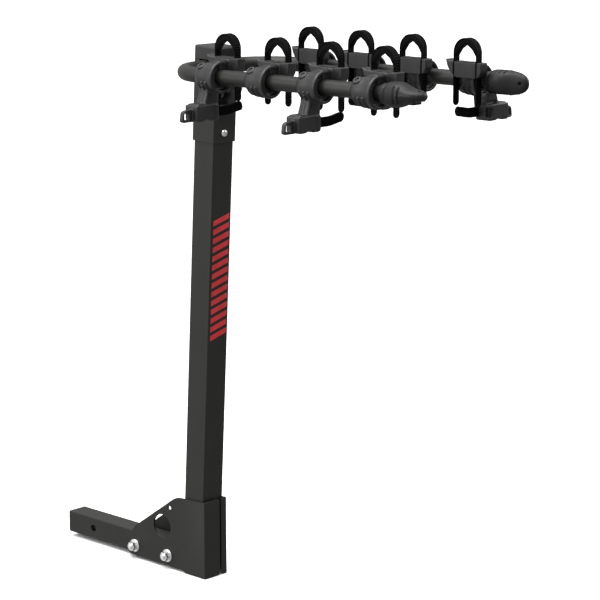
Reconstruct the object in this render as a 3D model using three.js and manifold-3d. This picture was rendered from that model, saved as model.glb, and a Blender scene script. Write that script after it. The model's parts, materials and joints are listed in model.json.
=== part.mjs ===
// Hitch mounted bike rack: a receiver shank, a leaning mast bolted up between two side
// plates, and a folding U-shaped arm tube that carries eight strap cradles.
//
// Millimetres. The origin is the centre of the hitch pin hole. +X points rearward, away
// from the vehicle, +Z is up, and -Y is the vehicle's left side.

import * as THREE from "three";
import { mergeVertices } from "three/addons/utils/BufferGeometryUtils.js";
import Module from "manifold-3d";

const wasm = await Module();
wasm.setup();

// ---------------------------------------------------------------- driving dimensions

const gap = 0.3; // between pieces that touch

const shank = { side: 50.8, wall: 5, front: -85, back: 299, corner: 4, pinHole: 8.1 };

const plate = {
  thick: 4.5,
  inner: 30.3, // half the distance between the two plates
  back: 382, // rear face of the flanges that wrap the mast
  top: 141.5,
  bottom: -35,
  leftFlangeTo: 12,
  rightFlangeFrom: 17,
  bigHole: { x: 244.5, z: 60, r: 28 },
  smallHole: { x: 269, z: 107, r: 5.5 },
};

const baseBolt = { z: -6, xs: { front: 152.5, rear: 260.5 }, r: 6, hole: 6.6, hex: 19, washer: 15 };

const mast = { side: 60, wall: 3, corner: 3.5, x: 336, foot: -28, top: 1147, lean: 2.97 };

const head = { outer: 33.5, corner: 5, bottom: 947, split: 1123, top: 1152, wall: 3.2 };

const arm = {
  r: 15.875,
  wall: 2.4,
  halfSpacing: 158,
  bend: 115, // radius of each corner of the U, at the tube's centreline
  pivot: 1106.2, // distance up the mast from its foot on the shank's axis
  end: 660, // from the pivot to the tube's open ends
};

const cradle = {
  first: 160.6, // from the pivot to the first strap's middle
  pitch: 141,
  saddleIn: 20, // the saddle block, measured inboard from the tube's axis
  saddleOut: 42.5,
  strapIn: 24.4,
  strapWidth: 17,
  strapThick: 3.2,
  strapR: 30,
  strapTop: 86.3,
  strapTail: -50,
  padSpring: 0, // where the pad inside the loop starts, from the arch's centre
  padPeak: 15.5,
};

// The strap base under a leg, measured from the tube's axis. The right arm's legs are shorter.
const swayBase = {
  height: 34,
  bottom: { left: -89.5, right: -79.5 },
  from: 6,
  to: 42,
  slot: { low: 5.5, high: 19.5 }, // above the base's bottom
};

const latch = {
  pivotU: 45.5, // from the mast's axis to the lever's pin
  pivotW: 1062, // height of the pin along the mast
  pinR: 4,
  ear: { from: 24.3, to: 27.3 },
  noseW: 1101,
  knobU: 48,
  knobW: 1024,
};

// ---------------------------------------------------------------- colours

const steel = { color: 0x1d1d1b, roughness: 0.5, metalness: 0.3 };
const plastic = { color: 0x232226, roughness: 0.45, metalness: 0 };
const rubber = { color: 0x0f0f10, roughness: 0.75, metalness: 0 };
const zinc = { color: 0xc9ccd1, roughness: 0.3, metalness: 1 };

// ---------------------------------------------------------------- solids

const radians = THREE.MathUtils.degToRad;

// A closed mesh as a manifold solid, turned the right way out if it was inside out.
function solid(geometry) {
  const bare = geometry.clone();
  bare.deleteAttribute("normal");
  bare.deleteAttribute("uv");
  const merged = mergeVertices(bare, 1e-4);
  const at = merged.attributes.position;
  const triVerts = [];
  let volume = 0;
  const [a, b, c] = [new THREE.Vector3(), new THREE.Vector3(), new THREE.Vector3()];
  for (let i = 0; i < merged.index.count; i += 3) {
    const corners = [0, 1, 2].map((k) => merged.index.getX(i + k));
    if (new Set(corners).size < 3) continue;
    a.fromBufferAttribute(at, corners[0]);
    b.fromBufferAttribute(at, corners[1]);
    c.fromBufferAttribute(at, corners[2]);
    volume += a.dot(b.cross(c));
    triVerts.push(...corners);
  }
  if (volume < 0) triVerts.reverse();
  return new wasm.Manifold(
    new wasm.Mesh({
      numProp: 3,
      vertProperties: Float32Array.from(at.array),
      triVerts: Uint32Array.from(triVerts),
    }),
  );
}

function geometryOf(manifold) {
  const { vertProperties, triVerts } = manifold.getMesh();
  const geometry = new THREE.BufferGeometry();
  geometry.setAttribute("position", new THREE.BufferAttribute(vertProperties, 3));
  geometry.setIndex(new THREE.BufferAttribute(triVerts, 1));
  geometry.computeVertexNormals();
  return geometry;
}

function box(x0, x1, y0, y1, z0, z1) {
  const geometry = new THREE.BoxGeometry(x1 - x0, y1 - y0, z1 - z0);
  return solid(geometry.translate((x0 + x1) / 2, (y0 + y1) / 2, (z0 + z1) / 2));
}

// Which way the shape's x, its y and the extrusion run for each plane of outline.
const planes = {
  xy: [new THREE.Vector3(1, 0, 0), new THREE.Vector3(0, 1, 0), new THREE.Vector3(0, 0, 1)],
  yz: [new THREE.Vector3(0, 1, 0), new THREE.Vector3(0, 0, 1), new THREE.Vector3(1, 0, 0)],
  xz: [new THREE.Vector3(1, 0, 0), new THREE.Vector3(0, 0, 1), new THREE.Vector3(0, -1, 0)],
};

// An outline in one plane, extruded from one place to another along the third axis.
function extruded(shape, plane, from, to, curveSegments = 5) {
  const [low, high] = [Math.min(from, to), Math.max(from, to)];
  const geometry = new THREE.ExtrudeGeometry(shape, {
    depth: high - low,
    bevelEnabled: false,
    curveSegments,
  });
  const [u, v, along] = planes[plane];
  geometry.applyMatrix4(new THREE.Matrix4().makeBasis(u, v, along));
  return solid(geometry.translate(...along.clone().multiplyScalar(plane === "xz" ? -high : low)));
}

// A profile of [radius, distance] pairs turned about the axis "x" or "y".
function turned(profile, axis, segments = 20) {
  const geometry = new THREE.LatheGeometry(
    profile.map(([r, h]) => new THREE.Vector2(r, h)),
    segments,
  );
  if (axis === "x") geometry.rotateZ(-Math.PI / 2);
  return solid(geometry);
}

// A plain rod along Y.
function rodY(r, y0, y1, x, z, segments = 16) {
  const profile = [
    [0, y0],
    [r, y0],
    [r, y1],
    [0, y1],
  ];
  return turned(profile, "y", segments).translate([x, 0, z]);
}

function ringY(inner, outer, y0, y1, x, z, segments = 20) {
  const profile = [
    [inner, y0],
    [outer, y0],
    [outer, y1],
    [inner, y1],
    [inner, y0],
  ];
  return turned(profile, "y", segments).translate([x, 0, z]);
}

// A polygon whose corners [x, y, radius] are rounded off.
function roundedOutline(corners) {
  const shape = new THREE.Shape();
  corners.forEach(([x, y, r = 0], i) => {
    const here = new THREE.Vector2(x, y);
    const before = new THREE.Vector2(...corners.at(i - 1).slice(0, 2));
    const after = new THREE.Vector2(...corners[(i + 1) % corners.length].slice(0, 2));
    const start = here.clone().add(before.sub(here).setLength(r));
    const end = here.clone().add(after.sub(here).setLength(r));
    if (i === 0) shape.moveTo(start.x, start.y);
    else shape.lineTo(start.x, start.y);
    if (r > 0) shape.quadraticCurveTo(x, y, end.x, end.y);
  });
  return shape;
}

function roundedSquare(half, r) {
  return roundedOutline([
    [half, half, r],
    [-half, half, r],
    [-half, -half, r],
    [half, -half, r],
  ]);
}

// A square tube's section.
function squareTube(half, wall, r) {
  const shape = roundedSquare(half, r);
  shape.holes.push(roundedSquare(half - wall, Math.max(r - wall, 1)));
  return shape;
}

function hexagon(acrossFlats) {
  const r = acrossFlats / Math.sqrt(3);
  const shape = new THREE.Shape();
  for (let i = 0; i < 6; i += 1) {
    const angle = (i * Math.PI) / 3;
    if (i === 0) shape.moveTo(r, 0);
    else shape.lineTo(r * Math.cos(angle), r * Math.sin(angle));
  }
  return shape;
}

// A path through fixed stations, so that straights take one step and bends take many.
class StationPath extends THREE.Curve {
  constructor(stations) {
    super();
    this.stations = stations;
  }

  getPoint(t, target = new THREE.Vector3()) {
    const last = this.stations.length - 1;
    const i = Math.min(Math.floor(t * last), last - 1);
    return target.lerpVectors(this.stations[i], this.stations[i + 1], t * last - i);
  }

  getUtoTmapping(u) {
    return u;
  }
}

function swept(shape, stations, curveSegments) {
  return solid(
    new THREE.ExtrudeGeometry(shape, {
      steps: stations.length - 1,
      extrudePath: new StationPath(stations),
      curveSegments,
    }),
  );
}

function circle(r) {
  return new THREE.Shape().absarc(0, 0, r, 0, 2 * Math.PI);
}

// ---------------------------------------------------------------- the rack and its nodes

const rack = new THREE.Group();

const mastGroup = new THREE.Group();
mastGroup.position.x = mast.x;
mastGroup.rotation.y = radians(mast.lean);
rack.add(mastGroup);

const armGroup = new THREE.Group();
armGroup.position.set(
  mast.x + arm.pivot * Math.sin(radians(mast.lean)),
  0,
  arm.pivot * Math.cos(radians(mast.lean)),
);
rack.add(armGroup);

function node(name, manifold, finish, parent = rack) {
  const mesh = new THREE.Mesh(geometryOf(manifold), new THREE.MeshStandardMaterial(finish));
  mesh.name = name;
  parent.add(mesh);
  return mesh;
}

// ---------------------------------------------------------------- base

function buildShank() {
  const half = shank.side / 2;
  let body = extruded(squareTube(half, shank.wall, shank.corner), "yz", shank.front, shank.back, 3);
  body = body.subtract(rodY(shank.pinHole, -half - 1, half + 1, 0, 0, 20));
  for (const x of Object.values(baseBolt.xs)) {
    body = body.subtract(rodY(baseBolt.hole, -half - 1, half + 1, x, baseBolt.z));
  }
  node("shank", body, steel);
}

function sidePlateOutline() {
  const { back, top, bottom } = plate;
  const outline = roundedOutline([
    [124, -14, 5],
    [150, 39, 12],
    [290, top - 5, 12],
    [back, top],
    [back, bottom],
    [322, bottom, 4],
    [303, bottom + 6, 4],
    [135, bottom + 6, 8],
  ]);
  const { bigHole, smallHole } = plate;
  outline.holes.push(new THREE.Path().absarc(bigHole.x, bigHole.z, bigHole.r, 0, 2 * Math.PI));
  outline.holes.push(new THREE.Path().absarc(smallHole.x, smallHole.z, smallHole.r, 0, 2 * Math.PI));
  for (const x of Object.values(baseBolt.xs)) {
    outline.holes.push(new THREE.Path().absarc(x, baseBolt.z, baseBolt.hole, 0, 2 * Math.PI));
  }
  return outline;
}

// side is -1 on the vehicle's left and +1 on its right.
function buildSidePlate(name, side, flangeEnd) {
  const outer = plate.inner + plate.thick;
  const web = extruded(sidePlateOutline(), "xz", side * plate.inner, side * outer, 8);
  const flange = extruded(
    roundedOutline([
      [side * outer, plate.bottom],
      [side * outer, plate.top],
      [flangeEnd, plate.top, 6],
      [flangeEnd, plate.bottom, 6],
    ]),
    "yz",
    plate.back - plate.thick,
    plate.back,
    4,
  );
  node(name, web.add(flange), steel);
}

function buildBaseFasteners() {
  const outer = plate.inner + plate.thick;
  const washerThick = 2.5;
  const nutFrom = -outer - 2 * gap - washerThick;
  for (const [place, x] of Object.entries(baseBolt.xs)) {
    const hex = (y0, y1) => {
      const prism = extruded(hexagon(baseBolt.hex), "xz", y0, y1);
      return prism.translate([x, 0, baseBolt.z]);
    };
    const rod = rodY(baseBolt.r, nutFrom - 14, outer + gap + 1, x, baseBolt.z);
    node(`base_bolt_${place}`, rod.add(hex(outer + gap, outer + gap + 8)), zinc);
    const bore = rodY(baseBolt.r + gap, nutFrom - 11, nutFrom + 1, x, baseBolt.z);
    node(`base_nut_${place}`, hex(nutFrom - 10, nutFrom).subtract(bore), zinc);
    const washerFrom = -outer - gap - washerThick;
    const washer = ringY(
      baseBolt.r + gap,
      baseBolt.washer,
      washerFrom,
      washerFrom + washerThick,
      x,
      baseBolt.z,
      24,
    );
    node(`base_washer_${place}`, washer, zinc);
    for (const [sideName, side] of [["left", -1], ["right", 1]]) {
      const [from, to] = [side * (shank.side / 2 + gap), side * (plate.inner - gap)];
      const y = [Math.min(from, to), Math.max(from, to)];
      const spacer = ringY(baseBolt.r + gap, 13, ...y, x, baseBolt.z, 16);
      node(`spacer_${sideName}_${place}`, spacer, steel);
    }
  }
}

// ---------------------------------------------------------------- mast and head

// The opening that the arm tube drops into: a slot open at the top with a round seat.
function tubeNotch(half) {
  const clearance = arm.r + 0.4;
  const seat = rodY(clearance, -half, half, 0, arm.pivot, 24);
  return seat.add(box(-clearance, clearance, -half, half, arm.pivot, head.top + 20));
}

function noseWindow() {
  return box(20, 40, -7.5, 7.5, latch.noseW - 10, latch.noseW + 12);
}

function buildMast() {
  const half = mast.side / 2;
  const tube = extruded(squareTube(half, mast.wall, mast.corner), "xy", mast.foot, mast.top, 3);
  node("mast", tube.subtract(tubeNotch(half + 1)).subtract(noseWindow()), steel, mastGroup);

  const plugHalf = half - mast.wall - gap;
  const plug = box(-plugHalf, plugHalf, -plugHalf, plugHalf, mast.foot + 2, mast.foot + 14);
  node("mast_foot_plug", plug, plastic, mastGroup);
}

function buildHead() {
  const inner = head.outer - head.wall;
  const section = squareTube(head.outer, head.wall, head.corner);
  const sleeve = extruded(section, "xy", head.bottom, head.split - gap, 4);
  const openings = tubeNotch(head.outer + 1).add(noseWindow());
  node("head_sleeve", sleeve.subtract(openings), steel, mastGroup);

  const crown = roundedSquare(head.outer, head.corner);
  const block = extruded(crown, "xy", head.split, head.top, 4);
  const hollow = box(-inner, inner, -inner, inner, head.split - 1, mast.top + 1.2);
  // The top edges are taken off by a pyramid-like cut on each side.
  let cap = block.subtract(hollow);
  for (const side of [0, 1, 2, 3]) {
    const wedge = extruded(
      roundedOutline([
        [head.outer - 5, head.top + 2],
        [head.outer + 2, head.top - 5],
        [head.outer + 2, head.top + 2],
      ]),
      "xz",
      -60,
      60,
    );
    cap = cap.subtract(wedge.rotate([0, 0, 90 * side]));
  }
  node("head_cap", cap, plastic, mastGroup);

  const screwHead = turned(
    [
      [0, head.outer + gap],
      [8, head.outer + gap],
      [8, head.outer + 3],
      [5.5, head.outer + 5.5],
      [0, head.outer + 6],
    ],
    "x",
    16,
  );
  node("sleeve_bolt", screwHead.translate([0, -4, 968]), zinc, mastGroup);
}

// ---------------------------------------------------------------- latch

function buildLatch() {
  const { pivotU, pivotW, pinR, ear, noseW, knobU, knobW } = latch;
  const face = head.outer + gap;

  const earOutline = roundedOutline([
    [face, pivotW - 18],
    [pivotU + 5, pivotW - 14, 6],
    [pivotU + 6, pivotW + 8, 6],
    [face, pivotW + 18, 3],
  ]);
  let bracket = box(face, face + 3, -ear.to, ear.to, pivotW - 18, pivotW + 18);
  for (const side of [-1, 1]) {
    bracket = bracket.add(extruded(earOutline, "xz", side * ear.from, side * ear.to));
  }
  bracket = bracket.subtract(rodY(pinR + gap, -30, 30, pivotU, pivotW));
  node("latch_bracket", bracket, steel, mastGroup);

  const pinEnd = ear.to + gap;
  const pin = rodY(pinR, -pinEnd - 1, pinEnd + 3, pivotU, pivotW)
    .add(rodY(7, -pinEnd - 4, -pinEnd, pivotU, pivotW))
    .add(rodY(6.5, pinEnd, pinEnd + 3, pivotU, pivotW));
  node("latch_pin", pin, zinc, mastGroup);

  const side = roundedOutline([
    [pivotU - 4, pivotW + 8],
    [pivotU - 6, noseW - 6],
    [26.5, noseW - 6],
    [26.5, noseW + 6],
    [pivotU - 1, noseW + 6, 5],
    [pivotU + 7, pivotW + 10, 6],
    [pivotU + 8, pivotW - 8, 6],
    [knobU + 4, knobW],
    [knobU - 4, knobW],
    [pivotU - 6, pivotW - 12, 6],
  ]);
  const blade = extruded(side, "xz", -6.5, 6.5);
  const hub = rodY(8, -11, 11, pivotU, pivotW, 18);
  const knob = rodY(8, -28, 28, knobU, knobW, 18);
  const lever = blade.add(hub).add(knob).subtract(rodY(pinR + gap, -30, 30, pivotU, pivotW));
  node("release_lever", lever, plastic, mastGroup);

  const turns = 4;
  const stepsPerTurn = 12;
  const pitch = 2.4;
  const coilFrom = 12.4;
  const stations = Array.from({ length: turns * stepsPerTurn + 1 }, (_, i) => {
    const angle = (2 * Math.PI * i) / stepsPerTurn;
    const y = coilFrom + 1.1 + (pitch * i) / stepsPerTurn;
    return new THREE.Vector3(pivotU + 6.6 * Math.cos(angle), y, pivotW + 6.6 * Math.sin(angle));
  });
  node("lever_spring", swept(circle(0.9), stations, 3), zinc, mastGroup);
}

// ---------------------------------------------------------------- arm tube

function armStations() {
  const { halfSpacing, bend, end } = arm;
  const bendSteps = 9;
  const stations = [new THREE.Vector3(end, -halfSpacing, 0)];
  for (const side of [-1, 1]) {
    for (let i = 0; i <= bendSteps; i += 1) {
      const turn = (Math.PI / 2) * (side < 0 ? i / bendSteps : 1 - i / bendSteps);
      const x = bend * (1 - Math.sin(turn));
      const y = side * (halfSpacing - bend * (1 - Math.cos(turn)));
      stations.push(new THREE.Vector3(x, y, 0));
    }
  }
  stations.push(new THREE.Vector3(end, halfSpacing, 0));
  return stations;
}

function buildArmTube() {
  const section = circle(arm.r);
  section.holes.push(new THREE.Path().absarc(0, 0, arm.r - arm.wall, 0, 2 * Math.PI));
  node("arm_tube", swept(section, armStations(), 9), steel, armGroup);

  let disc = ringY(arm.r + gap, 24, -6.5, 6.5, 0, 0, 32);
  const notch = box(19.5, 30, -8, 8, -7.5, 7.5).translate([0, 0, -5.2]);
  for (const turn of [mast.lean, mast.lean - 90]) {
    disc = disc.subtract(notch.rotate([0, turn, 0]));
  }
  node("lock_disc", disc, steel, armGroup);
}

// A bulb over the tube's end with a flattened nose; roll turns the nose about the tube.
function buildEndCap(name, side, roll) {
  const from = 612;
  const bore = arm.r + gap;
  const bulb = turned(
    [
      [0, from],
      [19, from],
      [19.4, from + 10],
      [23, from + 14],
      [24.5, from + 22],
      [24.5, from + 42],
      [21, from + 54],
      [12, from + 62],
      [0, from + 64],
    ],
    "x",
    18,
  );
  const nose = turned(
    [
      [0, from + 40],
      [24, from + 40],
      [23, from + 62],
      [20, from + 82],
      [14, from + 93],
      [6, from + 98],
      [0, from + 99],
    ],
    "x",
    18,
  ).scale([1, 0.5, 1]);
  const socket = turned(
    [
      [0, from - 1],
      [bore, from - 1],
      [bore, arm.end + gap],
      [0, arm.end + gap],
    ],
    "x",
    18,
  );
  const cap = bulb.add(nose).subtract(socket).rotate([roll, 0, 0]);
  node(name, cap.translate([0, side * arm.halfSpacing, 0]), plastic, armGroup);
}

// ---------------------------------------------------------------- cradles

// A cradle is drawn about the tube's axis with its saddle towards +Y.
function collar() {
  const bore = arm.r + 0.45;
  return turned(
    [
      [bore, -45],
      [19, -45],
      [24, -39],
      [27.5, -28],
      [28.5, -8],
      [31, 3],
      [33, 9],
      [33, 14],
      [30.5, 16],
      [22, 16],
      [20.5, 9],
      [bore, 9],
      [bore, -45],
    ],
    "x",
    20,
  );
}

function saddle() {
  const outline = roundedOutline([
    [-49, 43],
    [-40, 38.5, 3],
    [-14, 34, 12],
    [14, 34, 12],
    [34, 38, 3],
    [40, 38, 2.5],
    [40, 18, 6],
    [32, 8, 6],
    [-26, 8, 8],
    [-42, 22, 8],
  ]);
  return extruded(outline, "xz", cradle.saddleIn, cradle.saddleOut, 3);
}

// The two passages that the strap's tails run down through, open on the inboard side.
function strapPassages() {
  const middle = cradle.strapR - cradle.strapThick / 2;
  const half = cradle.strapThick / 2 + gap + 0.1;
  const passage = (x) =>
    box(x - half, x + half, cradle.strapIn - gap, cradle.saddleOut + 1, -60, 60);
  return passage(-middle).add(passage(middle));
}

// The leg that keeps a bicycle from swinging: it hangs from the collar, leans outboard and
// ends in a strap base. The left arm's legs hang under the collar, and the right arm's hang
// from the bell, clear of the tube's end cap. It is drawn on the +X side.
function swayLeg(from, top, bottom) {
  const baseTop = bottom + swayBase.height;
  const leg = extruded(
    roundedOutline([
      [12, top],
      [17, baseTop + 13.5, 10],
      [13, baseTop - 4],
      [-28, baseTop - 4],
      [-20, baseTop + 15.5, 10],
      [-15, top],
    ]),
    "yz",
    from,
    37,
    3,
  );
  const base = extruded(
    roundedOutline([
      [14, baseTop, 5],
      [-50, baseTop, 4],
      [-50, bottom, 7],
      [-20, bottom + 4, 12],
      [14, bottom, 7],
    ]),
    "yz",
    swayBase.from,
    swayBase.to,
    3,
  );
  const lug = extruded(
    roundedOutline([
      [-48, baseTop - 7],
      [-77, baseTop - 10, 8],
      [-79, bottom, 7],
      [-48, bottom],
    ]),
    "yz",
    19,
    29,
    3,
  );
  const { low, high } = swayBase.slot;
  const slot = box(0, 50, -72.5, -59.5, bottom + low, bottom + high);
  return leg.add(base).add(lug.subtract(slot));
}

// The strap's loop, thickened inside its arch by a pad with a pointed underside.
function strapBand() {
  const { strapR, strapThick, strapTop, strapTail } = cradle;
  const middle = strapTop - strapR;
  const inner = strapR - strapThick;
  const { padSpring, padPeak } = cradle;
  const shape = new THREE.Shape();
  shape.moveTo(strapR, strapTail);
  shape.absarc(0, middle, strapR, 0, Math.PI);
  shape.lineTo(-strapR, strapTail);
  shape.lineTo(-inner, strapTail);
  shape.lineTo(-inner, middle + padSpring);
  shape.lineTo(0, middle + padPeak);
  shape.lineTo(inner, middle + padSpring);
  shape.lineTo(inner, strapTail);
  return extruded(shape, "xz", cradle.strapIn, cradle.strapIn + cradle.strapWidth, 7);
}

// The band stands on edge and reaches inboard from the base.
function swayStrap(bottom) {
  const top = bottom + swayBase.height;
  const outline = roundedOutline([
    [14 + gap, top - 6],
    [14 + gap, bottom + 8],
    [40, bottom + 8, 8],
    [85, bottom + 14, 6],
    [82, top + 0.5, 6],
    [40, top - 5, 8],
  ]);
  return extruded(outline, "yz", 10.5, 15, 3);
}

// Names run from the mast outwards: cradle_left_1 is the nearest to it on the left arm.
const swayPlaces = ["left_1", "left_3", "right_2", "right_4"];

function buildCradles() {
  const body = collar().add(saddle()).subtract(strapPassages());
  const cut = turned(
    [
      [0, -60],
      [arm.r + 0.45, -60],
      [arm.r + 0.45, 60],
      [0, 60],
    ],
    "x",
    20,
  );
  const plain = body.subtract(cut);
  const band = strapBand();
  for (const [sideName, side] of [["left", -1], ["right", 1]]) {
    // The leg is on the mast's side of the left cradles and on the far side of the right ones.
    const bottom = swayBase.bottom[sideName];
    const facing = (piece) => (side > 0 ? piece : piece.mirror([1, 0, 0]));
    const leg = side > 0 ? swayLeg(0, -20, bottom) : swayLeg(8, -12, bottom);
    const withLeg = body.add(facing(leg)).subtract(cut);
    const tail = facing(swayStrap(bottom));
    for (let i = 0; i < 4; i += 1) {
      const place = `${sideName}_${i + 1}`;
      const at = [cradle.first + i * cradle.pitch, side * arm.halfSpacing, 0];
      // The right arm's pieces mirror the left arm's, so every saddle faces inboard.
      const put = (piece) => (side > 0 ? piece.mirror([0, 1, 0]) : piece).translate(at);
      const sways = swayPlaces.includes(place);
      node(`cradle_${place}`, put(sways ? withLeg : plain), plastic, armGroup);
      node(`strap_${place}`, put(band), rubber, armGroup);
      if (sways) node(`sway_strap_${place}`, put(tail), rubber, armGroup);
    }
  }
}

buildShank();
buildSidePlate("side_plate_left", -1, plate.leftFlangeTo);
buildSidePlate("side_plate_right", 1, plate.rightFlangeFrom);
buildBaseFasteners();
buildMast();
buildHead();
buildLatch();
buildArmTube();
buildEndCap("end_cap_left", -1, 90);
buildEndCap("end_cap_right", 1, 0);
buildCradles();

export default rack;
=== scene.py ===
"""Hitch mounted bike rack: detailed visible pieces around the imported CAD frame.

Mesh code works in millimetres and is scaled to metres as each piece is made. Cradle pieces
are drawn about the arm tube's axis with the saddle towards +Y, as for the left arm, and are
mirrored for the right arm.
"""

import json
import math

import bmesh
import bpy
from mathutils import Matrix, Vector

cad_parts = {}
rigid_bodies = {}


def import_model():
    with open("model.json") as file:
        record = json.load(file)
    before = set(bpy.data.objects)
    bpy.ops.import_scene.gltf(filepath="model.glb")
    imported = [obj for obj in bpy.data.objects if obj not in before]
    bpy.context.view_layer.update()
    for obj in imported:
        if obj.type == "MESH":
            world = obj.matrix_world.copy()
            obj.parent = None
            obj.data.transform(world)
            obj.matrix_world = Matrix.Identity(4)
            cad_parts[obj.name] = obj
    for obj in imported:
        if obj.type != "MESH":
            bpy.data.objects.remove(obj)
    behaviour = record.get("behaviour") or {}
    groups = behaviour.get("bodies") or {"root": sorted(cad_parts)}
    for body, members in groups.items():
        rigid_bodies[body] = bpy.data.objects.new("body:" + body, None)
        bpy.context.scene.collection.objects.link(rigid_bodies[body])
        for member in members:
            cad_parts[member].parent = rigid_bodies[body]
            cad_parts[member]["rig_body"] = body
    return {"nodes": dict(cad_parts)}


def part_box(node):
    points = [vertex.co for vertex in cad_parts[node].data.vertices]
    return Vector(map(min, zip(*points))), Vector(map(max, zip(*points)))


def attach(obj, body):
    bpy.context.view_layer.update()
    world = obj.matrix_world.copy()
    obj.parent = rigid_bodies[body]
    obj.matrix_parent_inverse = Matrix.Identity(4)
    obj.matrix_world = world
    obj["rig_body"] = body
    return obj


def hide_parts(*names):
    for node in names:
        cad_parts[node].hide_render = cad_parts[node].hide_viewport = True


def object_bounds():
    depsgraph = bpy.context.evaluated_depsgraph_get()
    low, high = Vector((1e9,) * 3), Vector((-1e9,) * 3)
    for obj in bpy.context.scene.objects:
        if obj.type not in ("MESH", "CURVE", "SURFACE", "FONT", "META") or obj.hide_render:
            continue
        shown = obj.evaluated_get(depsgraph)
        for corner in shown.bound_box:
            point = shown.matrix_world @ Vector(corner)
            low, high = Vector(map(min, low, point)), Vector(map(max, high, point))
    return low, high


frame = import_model()
cad_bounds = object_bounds()

MM = 0.001

# ---------------------------------------------------------------- places shared with the CAD

PIVOT = Vector((393.316, 0.0, 1104.714))  # middle of the arm tube's cross-leg, mm
HALF_SPACING = 158.0
TUBE_R = 15.875
BEND_R = 115.0
ARM_END = 660.0
FIRST_CRADLE = 160.6
CRADLE_PITCH = 141.0
MAST_FOOT = Vector((336.0, 0.0, 0.0))
MAST_LEAN = math.radians(2.97)
SWAY_PLACES = {"left_1", "left_3", "right_2", "right_4"}
BASE_HEIGHT = 33.7  # the strap base under an anti-sway leg
BASE_BOTTOM = {-1: -89.2, 1: -79.2}  # its underside from the tube's axis, left and right arm
STRAP_R = 28.4  # the strap loop's arch, to the middle of its band
STRAP_THICK = 3.2
ARCH_CENTRE = 56.3  # height of the arch's centre above the tube's axis
STRAP_TAIL = -50.0
MAST_HALF = 30.0
SLEEVE_FACE = 33.8

ARM_SPACE = Matrix.Translation(PIVOT)
MAST_SPACE = Matrix.Translation(MAST_FOOT) @ Matrix.Rotation(MAST_LEAN, 4, "Y")

# ---------------------------------------------------------------- materials


def node_material(name, **values):
    """A Principled material with plain socket values, and its tree and shader."""
    material = bpy.data.materials.new(name)
    material.use_nodes = True
    tree = material.node_tree
    shader = tree.nodes["Principled BSDF"]
    for socket, value in values.items():
        shader.inputs[socket].default_value = value
    return material, tree, shader


def noise(tree, scale, detail=3.0):
    """A noise texture in the object's own space, with its cell about 1/scale metres."""
    where = tree.nodes.new("ShaderNodeTexCoord").outputs["Object"]
    texture = tree.nodes.new("ShaderNodeTexNoise")
    texture.inputs["Scale"].default_value = scale
    texture.inputs["Detail"].default_value = detail
    texture.inputs["Roughness"].default_value = 0.55
    tree.links.new(where, texture.inputs["Vector"])
    return texture.outputs["Fac"]


def ramp(tree, fac, stops):
    """Colours over a factor, from (place, colour) pairs."""
    node = tree.nodes.new("ShaderNodeValToRGB")
    elements = node.color_ramp.elements
    while len(elements) < len(stops):
        elements.new(0.5)
    for element, (place, colour) in zip(elements, stops):
        element.position = place
        element.color = (*colour, 1.0)
    tree.links.new(fac, node.inputs["Fac"])
    return node.outputs["Color"]


def spread(tree, fac, low, high, start=0.3, end=0.7):
    """The factor's middle range mapped to low..high."""
    node = tree.nodes.new("ShaderNodeMapRange")
    ranges = {"From Min": start, "From Max": end, "To Min": low, "To Max": high}
    for socket, value in ranges.items():
        node.inputs[socket].default_value = value
    tree.links.new(fac, node.inputs["Value"])
    return node.outputs["Result"]


def blended(tree, fac, a, b):
    """Mix of two colours, each a socket or a plain colour."""
    node = tree.nodes.new("ShaderNodeMix")
    node.data_type = "RGBA"
    sockets = [s for s in node.inputs if s.type == "RGBA"]
    for socket, value in zip(sockets, (a, b)):
        if isinstance(value, tuple):
            socket.default_value = (*value, 1.0)
        else:
            tree.links.new(value, socket)
    factor = next(s for s in node.inputs if s.type == "VALUE" and s.name == "Factor")
    tree.links.new(fac, factor)
    return next(s for s in node.outputs if s.type == "RGBA")


def edges(tree):
    """1 on convex edges and 0 elsewhere."""
    pointiness = tree.nodes.new("ShaderNodeNewGeometry").outputs["Pointiness"]
    return spread(tree, pointiness, 0.0, 1.0, start=0.52, end=0.62)


def bump(tree, shader, height, distance, strength):
    """Relief of a given depth in metres from a height socket."""
    node = tree.nodes.new("ShaderNodeBump")
    node.inputs["Distance"].default_value = distance
    node.inputs["Strength"].default_value = strength
    tree.links.new(height, node.inputs["Height"])
    tree.links.new(node.outputs["Normal"], shader.inputs["Normal"])


def powder_coat():
    """Satin black powder coat with fine orange peel, rubbed a little lighter on its edges."""
    material, tree, shader = node_material("powder_coat_black", **{"Specular IOR Level": 0.36})
    stops = [(0.35, (0.0062, 0.0062, 0.0048)), (0.7, (0.0100, 0.0100, 0.0080))]
    body = ramp(tree, noise(tree, 9.0, 5.0), stops)
    tree.links.new(
        blended(tree, edges(tree), body, (0.022, 0.022, 0.019)), shader.inputs["Base Color"]
    )
    tree.links.new(spread(tree, noise(tree, 30.0), 0.40, 0.52), shader.inputs["Roughness"])
    bump(tree, shader, noise(tree, 900.0, 2.0), 0.00008, 0.35)
    return material


def zinc_plate():
    """Bright zinc with faint cloudy stains and fine machining."""
    material, tree, shader = node_material("zinc_plate", **{"Metallic": 1.0})
    cloud = noise(tree, 140.0, 4.0)
    colour = ramp(tree, cloud, [(0.3, (0.78, 0.79, 0.80)), (0.7, (0.93, 0.93, 0.92))])
    tree.links.new(colour, shader.inputs["Base Color"])
    tree.links.new(spread(tree, noise(tree, 320.0), 0.22, 0.38), shader.inputs["Roughness"])
    bump(tree, shader, noise(tree, 1800.0, 2.0), 0.00004, 0.4)
    return material


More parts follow.
